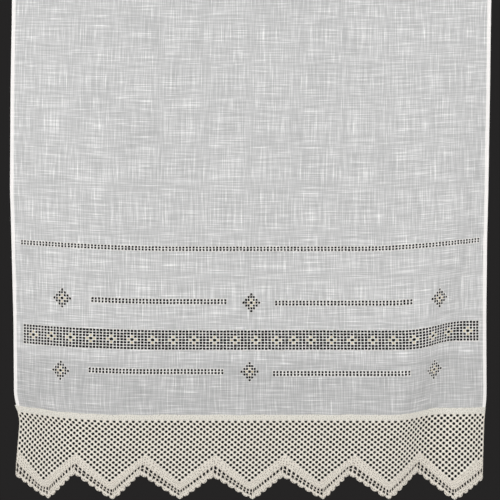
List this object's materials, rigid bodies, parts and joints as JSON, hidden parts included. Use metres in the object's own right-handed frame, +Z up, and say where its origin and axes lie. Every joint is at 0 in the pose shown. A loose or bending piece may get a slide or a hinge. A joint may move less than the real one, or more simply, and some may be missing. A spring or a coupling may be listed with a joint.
{
  "type": "rod pocket curtain",
  "caption": "Sheer voile curtain with a rod pocket heading, drawn thread bands and a pointed crochet border, hanging straight down.",
  "frame": {"origin": "middle of the curtain's top edge, where the rod carries it", "axes": "+X to the right as seen from the room, +Y from the room towards the window, +Z up"},
  "size_m": [0.71, 0.0585, 0.9041],
  "materials": {
    "voile": "sheer plain weave with slubs, matte",
    "crochet_cotton": "natural cotton yarn, matte"
  },
  "bodies": {
    "root": {"rod_pocket": "voile", "panel": "voile", "lace_border": "crochet_cotton"}
  },
  "joints": []
}
